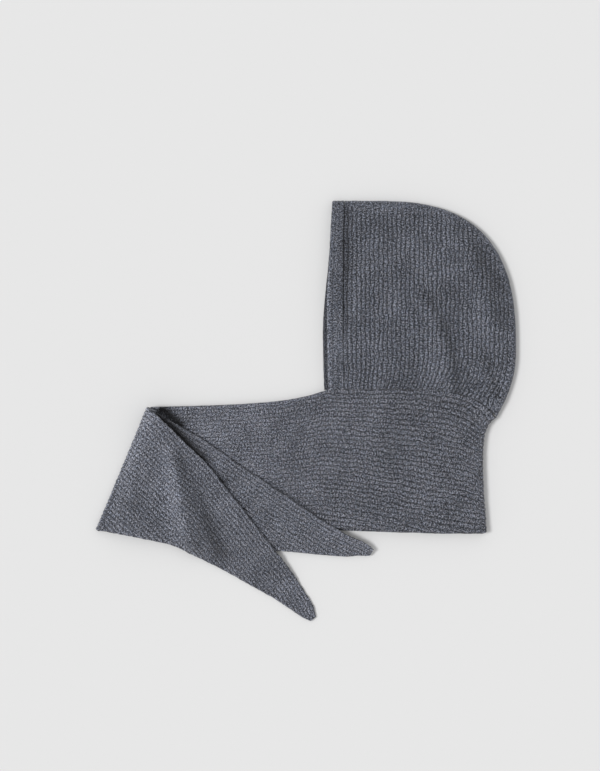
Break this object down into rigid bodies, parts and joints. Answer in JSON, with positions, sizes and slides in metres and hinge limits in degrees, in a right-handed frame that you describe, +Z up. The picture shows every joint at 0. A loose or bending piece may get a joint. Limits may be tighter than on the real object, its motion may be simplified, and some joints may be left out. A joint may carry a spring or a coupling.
{
  "type": "snood hood",
  "caption": "Knitted hood joined to a scarf collar with two pointed tails, folded flat and lying on its side with the tails folded back over the collar.",
  "frame": {"origin": "middle of the footprint, on the surface that the folded hood lies on", "axes": "+X from the face opening towards the back of the head, +Y from the collar towards the crown, +Z up from the surface, through the wearer's right side to the left side"},
  "size_m": [0.5238, 0.5248, 0.0239],
  "materials": {
    "hood_knit": "mid-grey melange rib knit, matte and a little fuzzy",
    "seam_knit": "mid-grey melange knit along a sewn edge",
    "band_knit": "mid-grey melange knit, a doubled hem without clear ribs",
    "scarf_knit": "mid-grey melange rib knit, matte and a little fuzzy"
  },
  "bodies": {
    "root": {"hood_panel_left": "hood_knit", "hood_panel_right": "hood_knit", "crown_seam": "seam_knit", "face_band": "band_knit", "scarf": "scarf_knit"}
  },
  "joints": []
}
